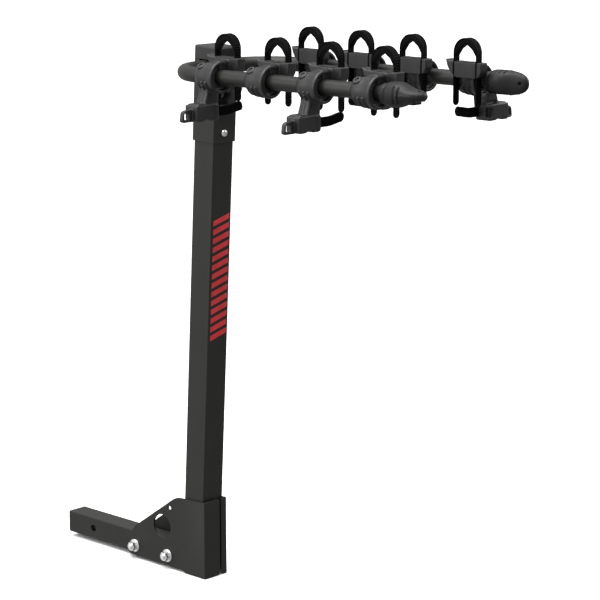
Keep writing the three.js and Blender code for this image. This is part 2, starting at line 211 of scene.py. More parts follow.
def moulded(name, dark, light, rough, edge_colour, grain=1500.0, gloss=0.45):
    """Injection moulded plastic with a fine sandblasted grain."""
    material, tree, shader = node_material(name, **{"Specular IOR Level": gloss})
    body = ramp(tree, noise(tree, 26.0, 4.0), [(0.32, dark), (0.7, light)])
    tree.links.new(blended(tree, edges(tree), body, edge_colour), shader.inputs["Base Color"])
    tree.links.new(
        spread(tree, noise(tree, 60.0), rough - 0.05, rough + 0.07), shader.inputs["Roughness"]
    )
    bump(tree, shader, noise(tree, grain, 2.0), 0.00006, 0.4)
    return material


def rubber():
    """Soft near-black strap rubber, a little dusty."""
    material, tree, shader = node_material("strap_rubber_black", **{"Specular IOR Level": 0.04})
    stops = [(0.4, (0.0016, 0.0016, 0.0017)), (0.75, (0.0036, 0.0036, 0.0038))]
    dust = ramp(tree, noise(tree, 70.0, 5.0), stops)
    tree.links.new(dust, shader.inputs["Base Color"])
    tree.links.new(spread(tree, noise(tree, 45.0), 0.42, 0.58), shader.inputs["Roughness"])
    bump(tree, shader, noise(tree, 1300.0, 3.0), 0.00008, 0.4)
    return material


def red_film():
    """Printed red film with a slightly uneven ink."""
    material, tree, shader = node_material("red_film", **{"Specular IOR Level": 0.3})
    stops = [(0.3, (0.54, 0.026, 0.032)), (0.7, (0.70, 0.045, 0.052))]
    ink = ramp(tree, noise(tree, 55.0, 4.0), stops)
    tree.links.new(ink, shader.inputs["Base Color"])
    tree.links.new(spread(tree, noise(tree, 90.0), 0.42, 0.55), shader.inputs["Roughness"])
    bump(tree, shader, noise(tree, 900.0, 2.0), 0.00004, 0.3)
    return material


def floor_paper():
    """Matt white studio paper with a barely visible tooth."""
    material, tree, shader = node_material("floor_paper", **{"Specular IOR Level": 0.1})
    stops = [(0.3, (0.90, 0.90, 0.90)), (0.7, (0.92, 0.92, 0.92))]
    paper = ramp(tree, noise(tree, 3.0, 2.0), stops)
    tree.links.new(paper, shader.inputs["Base Color"])
    tree.links.new(spread(tree, noise(tree, 5.0), 0.85, 0.95), shader.inputs["Roughness"])
    return material


COAT = powder_coat()
ZINC = zinc_plate()
CRADLE = moulded(
    "cradle_grey", (0.010, 0.010, 0.0107), (0.016, 0.016, 0.0171), 0.42, (0.034, 0.034, 0.037)
)
NYLON = moulded(
    "nylon_black", (0.005, 0.005, 0.0053), (0.009, 0.009, 0.0095), 0.40, (0.02, 0.02, 0.021)
)
CAP_GREY = moulded(
    "cap_grey", (0.005, 0.005, 0.0054), (0.009, 0.009, 0.0096), 0.50, (0.018, 0.018, 0.0192),
    gloss=0.28,
)
PAD = moulded(
    "pad_rubber", (0.003, 0.003, 0.0031), (0.006, 0.006, 0.0063), 0.55, (0.010, 0.010, 0.0105),
    grain=700.0,
)
RUBBER = rubber()
RED = red_film()

# ---------------------------------------------------------------- mesh helpers


def circle(count):
    """Angles evenly round a full turn."""
    return [2 * math.pi * k / count for k in range(count)]


def rounded_outline(corners, steps=6):
    """Points of a polygon whose corners (x, y, reach) are rounded off over that reach."""
    points = []
    count = len(corners)
    for i, corner in enumerate(corners):
        here = Vector(corner[:2])
        reach = corner[2]
        before = Vector(corners[i - 1][:2]) - here
        after = Vector(corners[(i + 1) % count][:2]) - here
        start = here + before.normalized() * reach
        end = here + after.normalized() * reach
        for k in range(steps + 1):
            t = k / steps
            points.append(start * (1 - t) ** 2 + here * 2 * t * (1 - t) + end * t**2)
    return points


def lofted(rings):
    """A closed bmesh through rings that each have the same count of 3-D points."""
    bm = bmesh.new()
    rows = [[bm.verts.new(p) for p in ring] for ring in rings]
    for low, high in zip(rows, rows[1:]):
        for i in range(len(low)):
            j = (i + 1) % len(low)
            bm.faces.new((low[i], low[j], high[j], high[i]))
    bm.faces.new(rows[0][::-1])
    bm.faces.new(rows[-1])
    bmesh.ops.recalc_face_normals(bm, faces=bm.faces)
    return bm


def prism(points, plane, low, high):
    """An outline in plane "xy", "yz" or "xz", from low to high along the third axis."""
    place = {
        "xy": lambda p, h: (p[0], p[1], h),
        "yz": lambda p, h: (h, p[0], p[1]),
        "xz": lambda p, h: (p[0], h, p[1]),
    }[plane]
    return lofted([[place(p, h) for p in points] for h in (low, high)])


def block(x, y, z, radius=0.0, segments=3):
    """A box between pairs of limits, with rounded edges."""
    bm = prism([(x[0], y[0]), (x[1], y[0]), (x[1], y[1]), (x[0], y[1])], "xy", *z)
    if radius > 0:
        bevel(bm, bm.edges[:], radius, segments)
    return bm


def bevel(bm, chosen, width, segments=3):
    """Rounds the chosen edges."""
    bmesh.ops.bevel(
        bm, geom=chosen, offset=width, segments=segments, profile=0.5, affect="EDGES",
        clamp_overlap=True,
    )


def sharp_edges(bm, angle):
    """The edges whose faces meet at more than the angle, in degrees."""
    return [e for e in bm.edges if e.is_manifold and e.calc_face_angle(0) > math.radians(angle)]


def turned(profile, axis="x", segments=64):
    """A closed profile of (radius, distance) turned about an axis. A radius of 0 is a pole."""
    bm = bmesh.new()
    rows = []
    for radius, along in profile:
        ring = []
        for i in range(segments if radius > 0 else 1):
            angle = 2 * math.pi * i / segments
            across = (radius * math.cos(angle), radius * math.sin(angle))
            point = {
                "x": (along, *across),
                "y": (across[1], along, across[0]),
                "z": (*across, along),
            }[axis]
            ring.append(bm.verts.new(point))
        rows.append(ring)
    if profile[0][0] > 0 and profile[-1][0] > 0:
        rows.append(rows[0])
    for low, high in zip(rows, rows[1:]):
        for i in range(segments):
            j = (i + 1) % segments
            face = [low[i % len(low)], low[j % len(low)], high[j % len(high)], high[i % len(high)]]
            face = list(dict.fromkeys(face))
            if len(face) > 2:
                bm.faces.new(face)
    bmesh.ops.recalc_face_normals(bm, faces=bm.faces)
    return bm


def placed(bm, matrix):
    """The bmesh moved by a matrix, and kept right side out by a mirror."""
    bmesh.ops.transform(bm, matrix=matrix, verts=bm.verts)
    if matrix.determinant() < 0:
        bmesh.ops.reverse_faces(bm, faces=bm.faces)
    return bm


def joined(*parts):
    """All the parts in one bmesh, still as separate closed shells."""
    whole = bmesh.new()
    for part in parts:
        mesh = bpy.data.meshes.new("part")
        part.to_mesh(mesh)
        part.free()
        whole.from_mesh(mesh)
        bpy.data.meshes.remove(mesh)
    return whole


def temporary(bm):
    """A scene object that holds the bmesh while modifiers run."""
    mesh = bpy.data.meshes.new("work")
    bm.to_mesh(mesh)
    bm.free()
    obj = bpy.data.objects.new("work", mesh)
    bpy.context.scene.collection.objects.link(obj)
    return obj


def with_modifiers(bm, *modifiers):
    """The bmesh after modifiers, each a (type, settings) pair."""
    obj = temporary(bm)
    for kind, settings in modifiers:
        modifier = obj.modifiers.new(kind, kind)
        for key, value in settings.items():
            setattr(modifier, key, value)
    mesh = bpy.data.meshes.new_from_object(
        obj.evaluated_get(bpy.context.evaluated_depsgraph_get())
    )
    bpy.data.objects.remove(obj)
    result = bmesh.new()
    result.from_mesh(mesh)
    bpy.data.meshes.remove(mesh)
    return result


def combined(bm, others, operation):
    """The bmesh united with, or cut by, each of the other closed shells in turn."""
    tools = [temporary(other) for other in others]
    steps = [
        ("BOOLEAN", {"operation": operation, "object": tool, "solver": "MANIFOLD"})
        for tool in tools
    ]
    result = with_modifiers(bm, *steps)
    for tool in tools:
        bpy.data.objects.remove(tool)
    return result


def fused(first, *others):
    """The closed shells united."""
    return combined(first, others, "UNION")


def cut(bm, *cutters):
    """The closed shell with the cutters taken away."""
    return combined(bm, cutters, "DIFFERENCE")


def moulding(bm, voxel=0.9, smoothing=4, keep=0.35):
    """Overlapping shells fused into one skin with softened edges, as a moulding has."""
    return with_modifiers(
        bm,
        ("REMESH", {"mode": "VOXEL", "voxel_size": voxel, "use_smooth_shade": True}),
        ("SMOOTH", {"factor": 0.5, "iterations": smoothing}),
        ("DECIMATE", {"ratio": keep}),
    )


def to_mesh(bm, name, material, angle=40.0):
    """A mesh in metres with smooth shading, sharp past the angle."""
    placed(bm, Matrix.Scale(MM, 4))
    mesh = bpy.data.meshes.new(name)
    bm.to_mesh(mesh)
    bm.free()
    mesh.materials.append(material)
    mesh.polygons.foreach_set("use_smooth", [True] * len(mesh.polygons))
    mesh.set_sharp_from_angle(angle=math.radians(angle))
    return mesh


def show(name, mesh, body, replaces=(), location=(0, 0, 0)):
    """A visible piece that rides on a CAD body."""
    obj = bpy.data.objects.new(name, mesh)
    obj.location = Vector(location) * MM
    bpy.context.scene.collection.objects.link(obj)
    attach(obj, body)
    if replaces:
        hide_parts(*replaces)
    return obj


def weighted(obj):
    """Flat faces keep flat shading beside their bevels."""
    modifier = obj.modifiers.new("weighted_normals", "WEIGHTED_NORMAL")
    modifier.keep_sharp = True
    modifier.weight = 100
    return obj


# ---------------------------------------------------------------- finished CAD shapes


def cad_shape(node):
    """A CAD node's mesh in millimetres, with flat areas as single faces."""
    bm = bmesh.new()
    bm.from_mesh(frame["nodes"][node].data)
    placed(bm, Matrix.Scale(1 / MM, 4))
    bmesh.ops.remove_doubles(bm, verts=bm.verts, dist=0.002)
    bmesh.ops.dissolve_limit(
        bm, angle_limit=math.radians(0.6), verts=bm.verts, edges=bm.edges
    )
    return bm


def finished(node, material, width=0.6, segments=2, bend=None):
    """A CAD node's shape with its sharp edges broken; bend = (test, radius) rounds some more."""
    bm = cad_shape(node)
    if bend:
        test, radius = bend
        bevel(bm, [e for e in sharp_edges(bm, 50) if test(e)], radius, 5)
    bevel(bm, sharp_edges(bm, 28), width, segments)
    mesh = to_mesh(bm, f"{node}_finished", material, 38)
    body = frame["nodes"][node]["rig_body"]
    return weighted(show(f"{node}_finished", mesh, body, (node,)))


def outer_rear_corner(edge, side):
    """True for the long upright edge that a side plate's flange is bent round."""
    a, b = (v.co for v in edge.verts)
    upright = abs(a.z - b.z) > 100
    rear = min(a.x, b.x) > 380
    outer = a.y * side > 34 and b.y * side > 34
    return upright and rear and outer


def finish_frame():
    """The welded and pressed steel pieces and the moulded ones round the latch."""
    finished("shank", COAT, 0.7)
    for name, side in (("left", -1), ("right", 1)):
        finished(
            f"side_plate_{name}", COAT, 0.6,
            bend=(lambda edge, at=side: outer_rear_corner(edge, at), 3.2),
        )
        for place in ("front", "rear"):
            finished(f"spacer_{name}_{place}", COAT, 0.6)
    finished("mast", COAT, 0.5)
    finished("mast_foot_plug", NYLON, 1.2, 3)
    finished("head_sleeve", COAT, 0.7)
    finished("head_cap", NYLON, 1.6, 3)
    finished("latch_bracket", COAT, 0.5)
    finished("latch_pin", ZINC, 0.7, 3)
    finished("release_lever", NYLON, 0.9, 3)
    finished("lock_disc", COAT, 0.5)


# ---------------------------------------------------------------- fasteners


BOLT_R = 6.0
THREAD_PITCH = 1.75
THREAD_LENGTH = 26.0  # past the nut's outer face, towards the head
BOLT_HEAD = 8.0  # its thickness


def hexagon(radius):
    """Corners of a hexagon with one corner on the first axis."""
    return [
        (radius * math.cos(k * math.pi / 3), radius * math.sin(k * math.pi / 3)) for k in range(6)
    ]


def thread(low, high, x, z):
    """A threaded rod along Y, as turned ridges with slightly flattened crests."""
    root = BOLT_R - 0.75
    profile = [(0, low), (BOLT_R - 1.0, low)]
    turns = int((high - low - 1.5) / THREAD_PITCH)
    for i in range(turns):
        base = low + 0.8 + i * THREAD_PITCH
        profile += [
            (root, base), (BOLT_R, base + 0.4 * THREAD_PITCH), (BOLT_R, base + 0.55 * THREAD_PITCH),
        ]
    profile += [(root, high), (0, high)]
    return placed(turned(profile, "y", 32), Matrix.Translation((x, 0, z)))


def hex_prism(across, low, high, x, z):
    """A hexagon along Y whose outer corners are turned off as on a machined nut."""
    radius, chamfer = across / math.sqrt(3), 1.1
    corners = hexagon(radius)
    body = prism(corners, "xz", low, high)
    bevel(body, sharp_edges(body, 28), 0.35, 2)
    cone = turned(
        [
            (0, low), (across / 2 + 0.2, low), (radius + 0.6, low + chamfer),
            (radius + 0.6, high - chamfer), (across / 2 + 0.2, high), (0, high),
        ],
        "y",
        48,
    )
    return placed(combined(body, [cone], "INTERSECT"), Matrix.Translation((x, 0, z)))


def finish_fasteners():
    """The two base bolts with their nuts and washers."""
    for place in ("front", "rear"):
        low, high = (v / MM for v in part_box(f"base_nut_{place}"))
        middle = (low + high) / 2
        bolt_low, bolt_high = (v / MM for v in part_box(f"base_bolt_{place}"))
        across = high.z - low.z
        nut = hex_prism(across, low.y, high.y, middle.x, middle.z)
        bore = placed(
            turned([(0, low.y - 2), (6.3, low.y - 2), (6.3, high.y + 2), (0, high.y + 2)], "y", 32),
            Matrix.Translation((middle.x, 0, middle.z)),
        )
        nut = cut(nut, bore)
        mesh = to_mesh(nut, f"nut_{place}", ZINC, 30)
        show(
            f"base_nut_{place}_machined", mesh, "mast_frame",
            (f"base_nut_{place}",),
        )

        head_low = bolt_high.y - BOLT_HEAD
        rod = thread(bolt_low.y, low.y + THREAD_LENGTH, middle.x, middle.z)
        start, end, plain = low.y + THREAD_LENGTH - 1, head_low + 0.5, BOLT_R - 0.1
        shaft = placed(
            turned([(0, start), (plain, start), (plain, end), (0, end)], "y", 32),
            Matrix.Translation((middle.x, 0, middle.z)),
        )
        head = hex_prism(across, head_low, bolt_high.y, middle.x, middle.z)
        mesh = to_mesh(joined(rod, shaft, head), f"bolt_{place}", ZINC, 30)
        show(
            f"base_bolt_{place}_machined", mesh, "mast_frame",
            (f"base_bolt_{place}",),
        )

        washer_low, washer_high = (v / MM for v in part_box(f"base_washer_{place}"))
        outer = (washer_high.x - washer_low.x) / 2
        ring = turned(
            [
                (6.4, washer_low.y), (outer - 1.6, washer_low.y), (outer - 0.4, washer_low.y + 0.7),
                (outer, washer_low.y + 1.4), (outer, washer_high.y), (6.4, washer_high.y),
            ],
            "y",
            56,
        )
        placed(ring, Matrix.Translation((middle.x, 0, middle.z)))
        mesh = to_mesh(ring, f"washer_{place}", ZINC, 30)
        show(
            f"base_washer_{place}_stamped", mesh, "mast_frame",
            (f"base_washer_{place}",),
        )


def finish_sleeve_screw():
    """The sleeve's button head screw, with a socket for a hexagonal key."""
    face, radius = SLEEVE_FACE, 8.0
    button = turned(
        [
            (0, face), (radius, face), (radius, face + 1.2), (radius - 0.8, face + 3.2),
            (radius - 2.6, face + 4.8), (radius - 5.4, face + 5.6), (0, face + 5.7),
        ],
        "x",
        40,
    )
    button = cut(button, prism(hexagon(2.9), "yz", face + 2.4, face + 7))
    placed(button, MAST_SPACE @ Matrix.Translation((0, -4, 968)))
    mesh = to_mesh(button, "sleeve_screw", ZINC, 30)
    show("sleeve_bolt_button", mesh, "mast_frame", ("sleeve_bolt",))


def coil(radius, wire, start, pitch, turns, x, z):
    """A spring about an axis along Y, with rounded wire ends."""
    steps = 28
    rings = []
    total = turns * steps
    for i in range(total + 1):
        angle = 2 * math.pi * i / steps
        across, rise = radius * math.cos(angle), radius * math.sin(angle)
        centre = Vector((x + across, start + pitch * i / steps, z + rise))
        out = Vector((math.cos(angle), 0, math.sin(angle)))
        size = wire * (0.55 if i in (0, total) else 1.0)
        rings.append(
            [
                centre + out * size * math.cos(t) + Vector((0, 1, 0)) * size * math.sin(t)
                for t in circle(12)
            ]
        )
    return lofted(rings)


def finish_spring():
    """The release lever's return spring, round the latch pin."""
    spring = coil(radius=6.6, wire=0.9, start=13.5, pitch=2.4, turns=4, x=45.5, z=1062)
    mesh = to_mesh(placed(spring, MAST_SPACE), "lever_spring_wire", ZINC, 60)
    show("lever_spring_wire", mesh, "mast_frame", ("lever_spring",))


# ---------------------------------------------------------------- arm tube and caps


def arm_path():
    """The tube's centreline from the left end, round the cross-leg, to the right end."""
    bend_steps = 22
    points = [Vector((ARM_END, -HALF_SPACING, 0))]
    for side in (-1, 1):
        for i in range(bend_steps + 1):
            share = i / bend_steps if side < 0 else 1 - i / bend_steps
            turn = share * math.pi / 2
            points.append(
                Vector(
                    (
                        BEND_R * (1 - math.sin(turn)),
                        side * (HALF_SPACING - BEND_R * (1 - math.cos(turn))),
                        0,
                    )
                )
            )
    points.append(Vector((ARM_END, HALF_SPACING, 0)))
    return points


def finish_arm_tube():
    """The bent tube that both arms are made of."""
    path = arm_path()
    rings = []
    for i, point in enumerate(path):
        before = path[max(i - 1, 0)]
        after = path[min(i + 1, len(path) - 1)]
        ahead = (after - before).normalized()
        across = ahead.cross(Vector((0, 0, 1)))
        rings.append(
            [
                point + across * TUBE_R * math.cos(t) + Vector((0, 0, TUBE_R)) * math.sin(t)
                for t in circle(48)
            ]
        )
    tube = lofted(rings)
    bevel(tube, sharp_edges(tube, 60), 1.0, 3)
    mesh = to_mesh(placed(tube, ARM_SPACE), "arm_tube_bent", COAT, 50)
    weighted(show("arm_tube_bent", mesh, "arms", ("arm_tube",)))


def oval(x, a, b, power=2.3):
    """A squared-off ring across X: half-width a along Y and half-height b along Z."""
    ring = []
    for angle in circle(56):
        c, s = math.cos(angle), math.sin(angle)
        y = math.copysign(abs(c) ** (2 / power), c) * a
        z = math.copysign(abs(s) ** (2 / power), s) * b
        ring.append((x, y, z))
    return ring


def end_cap():
    """A bulb over the tube's end that flattens to a blunt nose, wide in Y and thin in Z."""
    sections = [
        (612, 19.2, 19.2), (613, 20.2, 20.2), (620, 20.4, 20.4), (622.5, 19.6, 19.6),
        (624, 20.4, 20.4), (627, 23.2, 23.2), (632, 24.4, 24.4), (642, 24.8, 24.8),
        (652, 24.8, 24.2), (660, 24.6, 21.6), (668, 24.2, 17.6), (676, 23.6, 14.6),
        (686, 22.2, 12.6), (695, 19.8, 11.2), (703, 15.6, 9.2), (708, 10.4, 6.4), (710.6, 4.2, 2.6),
    ]
    body = lofted([oval(*section) for section in sections])
    # Side wings carry the flat shape back along the bulb.
    wing = [
        (640, 20.0, 3.0), (648, 25.0, 4.0), (668, 25.4, 5.0), (690, 21.8, 6.0), (700, 16.0, 5.0),
    ]
    fin = lofted([oval(x, a, b, 2.8) for x, a, b in wing])
    ledge = block((650, 692), (-13, 13), (-16.5, -8), 2.2)
    parts = fused(body, fin, ledge)
    bore_r, bore_end = TUBE_R + 0.4, ARM_END + 0.5
    bore = turned([(0, 600), (bore_r, 600), (bore_r, bore_end), (0, bore_end)], "x", 48)
    eye = placed(
        turned([(0, -30), (4.2, -30), (4.2, 30), (0, 30)], "z", 32), Matrix.Translation((697, 0, 0))
    )
    grooves = []
    for side in (-1, 1):
        # Curved finger slots on each flank.
        for x in (646, 657):
            rings = []
            for i in range(15):
                angle = math.radians(-42 + 6 * i)
                reach = 25.6 - 0.10 * (x - 640)
                out = Vector((0, side * math.cos(angle), math.sin(angle)))
                centre = Vector((x + 5.0 * math.cos(angle), 0, 0)) + out * reach
                rings.append(
                    [
                        centre + Vector((2.0 * math.cos(t), 0, 0)) + out * 2.0 * math.sin(t)
                        for t in circle(10)
                    ]
                )
            grooves.append(lofted(rings))
    solid = cut(parts, bore, eye, *grooves)
    return moulding(solid, 0.8, 3, 0.4)


def finish_end_caps():
    """The left cap's nose lies flat, and the right cap's is turned on edge."""
    for name, side, roll in (("left", -1, 0), ("right", 1, 90)):
        cap = placed(
            end_cap(),
            ARM_SPACE
            @ Matrix.Translation((0, side * HALF_SPACING, 0))
            @ Matrix.Rotation(math.radians(roll), 4, "X"),
        )
        mesh = to_mesh(cap, f"end_cap_{name}_moulded", CAP_GREY, 50)
        show(f"end_cap_{name}_moulded", mesh, "arms", (f"end_cap_{name}",))


# ---------------------------------------------------------------- cradles


def collar():
    """The sleeve that turns on the tube, with a bell at the end away from the mast."""
    bore = TUBE_R + 0.45
    return turned(
        [
            (bore, -45), (18.2, -45), (19.6, -44.4), (20.6, -42.6), (23.4, -39.2), (25.8, -34.6),
            (27.2, -29), (27.8, -22), (28.0, -14), (28.4, -8), (29.2, -2), (30.6, 3), (32.2, 7.5),
            (33, 10.5), (33, 13), (32.2, 15.2), (30.6, 16), (27.6, 16), (26.4, 15.2), (25.6, 12),
            (24.6, 9.5), (21, 8.6), (19.2, 8.8), (18.4, 10.6), (bore, 10.6),
        ],
        "x",
        72,
    )


def belly_ribs():
    """Raised hoops round the collar's underside."""
    hoops = []
    for x, reach in ((-30.0, 28.8), (-18.0, 31.0), (-6.0, 32.0)):
        rings = []
        for i in range(25):
            angle = math.radians(198 + 6 * i)
            fade = math.sin(math.pi * i / 24) ** 0.5
            centre = reach - 2.6 + 1.2 * fade
            out = Vector((0, math.cos(angle), math.sin(angle)))
            rings.append(
                [
                    Vector((x, 0, 0)) + out * (centre + 2.2 * math.sin(t))
                    + Vector((2.6 * math.cos(t), 0, 0))
                    for t in circle(12)
                ]
            )
        hoops.append(lofted(rings))
    return hoops


def saddle():
    """The block that the frame tube of a bicycle lies in, drawn in the XZ plane."""
    outline = rounded_outline(
        [
            (-49, 43, 1.2), (-40, 38.5, 4), (-22, 37.2, 6), (0, 36.9, 12), (22, 37.2, 6),
            (34, 38, 3), (40, 38.4, 2.5), (40.2, 18, 6), (32, 7, 6), (-26, 7, 8), (-43, 24, 8),
        ],
        7,
    )
    body = prism(outline, "xz", 20, 42.4)
    bevel(body, sharp_edges(body, 60), 2.0, 3)
    return body


def web():
    """The bridge that joins the saddle to the collar, with an S-shaped shoulder line."""
    outline = rounded_outline(
        [
            (-40, 10, 2), (-36, 21, 6), (-22, 25.5, 10), (-6, 33, 8), (12, 35.6, 8), (15.5, 30, 5),
            (15.5, 6, 2),
        ],
        7,
    )
    shoulder = prism(outline, "xz", -6, 22)
    bevel(shoulder, sharp_edges(shoulder, 55), 3.0, 3)
    return shoulder


def boss(profile):
    """A turned part on the collar's boss, which stands up and outboard from the tube's axis."""
    stand = Matrix.Rotation(math.radians(128) - math.pi / 2, 4, "X")
    return placed(turned(profile, "z", 40), Matrix.Translation((-27, 0, 0)) @ stand)


def sway_leg(low, root, bottom):
    """The leg and strap base that keep a bicycle from swinging, from low to 37 along +X.

    root is the height where the leg leaves the collar.
    """
    rings = []
    top = bottom + BASE_HEIGHT
    for z, y_low, y_high in (
        (root, -15, 12), (top + 24, -17.2, 14), (top + 15.5, -20, 16), (top + 5.5, -23.6, 15.2),
        (top - 4.5, -27.4, 13.2), (top - 9.5, -28.5, 13),
    ):
        corner = 6.5
        points = rounded_outline(
            [(low, y_low, corner), (37, y_low, corner), (37, y_high, corner), (low, y_high, corner)]
        )
        rings.append([(p.x, p.y, z) for p in points])
    leg = lofted(rings)
    # A rib down the outboard face that stands a little proud.
    middle = 22.5
    rib_rings = [
        [
            (middle + 4.2 * math.cos(t), y + 1.7 * math.sin(t), z)
            for t in circle(16)
        ]
        for z, y in (
            (top + 25, -17.0), (top + 21.5, -18.2), (top + 13.5, -20.8), (top + 5.5, -23.9),
            (top - 0.5, -26.2),
        )
    ]
    rib = lofted(rib_rings)
    base_outline = rounded_outline(
        [
            (13.8, top, 5), (-50, top, 4), (-50, bottom, 7), (-30, bottom, 4),
            (-20, bottom + 4.2, 5), (-9, bottom, 4), (13.8, bottom, 7),
        ]
    )
    base = prism(base_outline, "yz", 6, 42)
    bevel(base, sharp_edges(base, 60), 3.2, 3)
    # Grip ridges round the inboard end of the base.
    ridges = [
        block((5, 43), (y - 0.9, y + 0.9), (bottom + 1.5, top - 1.5), 0.8, 2)
        for y in (-1.5, 3.0, 7.5)
    ]
    hump = block((8, 40), (-44, -16), (top - 3, top + 2.4), 2.0)
    lug = prism(
        rounded_outline(
            [(-46, top - 7, 3), (-76, top - 10, 8), (-79, bottom, 7), (-46, bottom, 3)]
        ),
        "yz", 19, 29,
    )
    bevel(lug, sharp_edges(lug, 60), 1.6, 3)
    return [leg, rib, base, hump, lug, *ridges]


def leg_cuts(bottom):
    """The lug's slot, a notch in the leg's +X edge and a pocket in the base's inboard end."""
    return [
        block((0, 50), (-72.5, -59.5), (bottom + 5.2, bottom + 18.7), 1.5),
        block((34, 44), (-14, 20), (bottom + 34.2, bottom + 40.7), 1.0),
        block((31, 44), (2, 20), (bottom + 7.2, bottom + 26.2), 1.0),
    ]


def cradle_body(side, sways):
    """The whole moulded cradle as one skin, for the arm on a side, with or without its leg."""
    parts = [collar(), saddle(), web(), *belly_ribs()]
    parts.append(boss([(0, 20), (9.2, 20), (9.2, 29.6), (8.4, 30.6), (6.6, 30.8), (0, 30.8)]))
    # Raised lips round the two strap exits on top of the saddle.
    for x in (-28.4, 28.4):
        parts.append(block((x - 5.5, x + 5.5), (20.6, 42.0), (28, 38.6), 1.6))
    bore = TUBE_R + 0.5
    cutters = [
        turned([(0, -70), (bore, -70), (bore, 70), (0, 70)], "x", 64),
        block((-30.4, -26.4), (24.0, 45), (-60, 60)),
        block((26.4, 30.4), (24.0, 45), (-60, 60)),
        boss([(0, 27.6), (4.4, 27.6), (4.6, 34), (0, 34)]),
    ]
    if sways:
        flip = Matrix.Scale(-1, 4, (1, 0, 0)) if side < 0 else Matrix.Identity(4)
        low, root = (8, -8) if side < 0 else (0, -25.5)
        bottom = BASE_BOTTOM[side]
        parts += [placed(part, flip) for part in sway_leg(low, root, bottom)]
        cutters += [placed(cutter, flip) for cutter in leg_cuts(bottom)]
        if side < 0:
            # A relief slit where the leg meets the collar.
            cutters.append(block((-31, -14), (-36, -24.6), (-16.2, -12.6)))
    return moulding(cut(fused(*parts), *cutters))


def saddle_pad():
    """A soft liner in the dip of the saddle, with ridges across it and its ends tucked in."""
    rings = []
    steps, half = 60, 24.0
    for i in range(steps + 1):
        x = -half + 2 * half * i / steps
        dip = 37.2 + 0.0010 * x * x
        ridge = 0.55 if i % 6 in (2, 3, 4) else 0.0
        if i in (0, steps):
            ridge = -0.6
        top = dip + 1.3 + ridge
        under, shoulder = dip - 1.2, top - 0.9
        rings.append(
            [
                (x, 22.6, under), (x, 39.8, under), (x, 40.6, shoulder),
                (x, 39.6, top), (x, 22.8, top), (x, 21.8, shoulder),
            ]
        )
    return lofted(rings)


def strap_path():
    """Points about 1 mm apart along the strap loop, with outward normals, in XZ."""
    points = []
    straight = ARCH_CENTRE - STRAP_TAIL
    count = int(straight)
    for i in range(count + 1):
        points.append((Vector((STRAP_R, STRAP_TAIL + straight * i / count)), Vector((1, 0))))
    turns = int(math.pi * STRAP_R)
    for i in range(1, turns):
        angle = math.pi * i / turns
        out = Vector((math.cos(angle), math.sin(angle)))
        points.append((Vector((0, ARCH_CENTRE)) + out * STRAP_R, out))
    for i in range(count + 1):
        height = ARCH_CENTRE - straight * i / count
        points.append((Vector((-STRAP_R, height)), Vector((-1, 0))))
    return points


def ladder_section(half, thick, depth, rail=2.2):
    """A band's section: flat back, and a front recessed by depth between its rails."""
    return [
        (-half, -thick + 0.5), (-half + 0.5, -thick), (half - 0.5, -thick), (half, -thick + 0.5),
        (half, -0.6), (half - 0.6, 0.0), (half - rail, 0.0), (half - rail - 0.3, -depth),
        (-half + rail + 0.3, -depth), (-half + rail, 0.0), (-half + 0.6, 0.0), (-half, -0.6),
    ]


def end_taper(distance, half):
    """The share of the full width at a distance from a rounded end."""
    if distance >= half:
        return 1.0
    lift = 1.0 - distance / half
    return max(math.sqrt(max(1.0 - lift * lift, 0.0)), 0.16)


def frame_strap():
    """The ladder strap that buckles over a bicycle's frame tube, standing as a loop."""
    path = strap_path()
    middle_y, half = 32.9, 8.5
    rings = []
    last = len(path) - 1
    for i, (point, out) in enumerate(path):
        near_end = min(i, last - i)
        narrow = end_taper(near_end, half)
        rung = i % 5 in (0, 1)
        depth = 0.05 if rung or near_end < 7 else 0.8
        ring = []
        for y, inset in ladder_section(half, STRAP_THICK, depth):
            reach = STRAP_THICK / 2 + inset
            ring.append((point.x + out.x * reach, middle_y + y * narrow, point.y + out.y * reach))
        rings.append(ring)
    return lofted(rings)


def arch_pad():
    """The pad inside the loop's arch, with a pointed underside and softened edges."""
    inner, middle = STRAP_R - 1.0, ARCH_CENTRE
    points = [
        (inner * math.cos(a), middle + inner * math.sin(a))
        for a in (math.pi * k / 40 for k in range(41))
    ]
    underside = [
        (-inner, -6), (-26.2, -6.5), (-17, 6.8), (-2.4, 17.0), (0, 17.6),
        (2.4, 17.0), (17, 6.8), (26.2, -6.5), (inner, -6),
    ]
    points += [(x, middle + rise) for x, rise in underside]
    pad = prism(points, "xz", 25.4, 40.4)
    bevel(pad, [e for e in sharp_edges(pad, 60) if max(v.co.z for v in e.verts) < 84], 0.9, 3)
    return pad


def sway_strap(side):
    """The anti-sway strap, a band on edge that reaches inboard from its base and lifts."""
    rings = []
    start, level_to, end = 10.0, 36.0, 85.0
    thick = 4.3
    steps = 75
    for i in range(steps + 1):
        y = start + (end - start) * i / steps
        rise = max(0.0, (y - level_to) / (end - level_to))
        centre = BASE_BOTTOM[side] + 17.7 + 6.2 * (rise * rise * (3 - 2 * rise))
        narrow = end_taper(steps - i, 9.0)
        rung = i % 5 in (0, 1)
        depth = 0.05 if rung or steps - i < 8 else 0.9
        section = ladder_section(10.0, thick, depth, 2.6)
        front = 10.7 + thick if side > 0 else -10.7
        rings.append([(front + inset, y, centre + w * narrow) for w, inset in section])
    return lofted(rings)


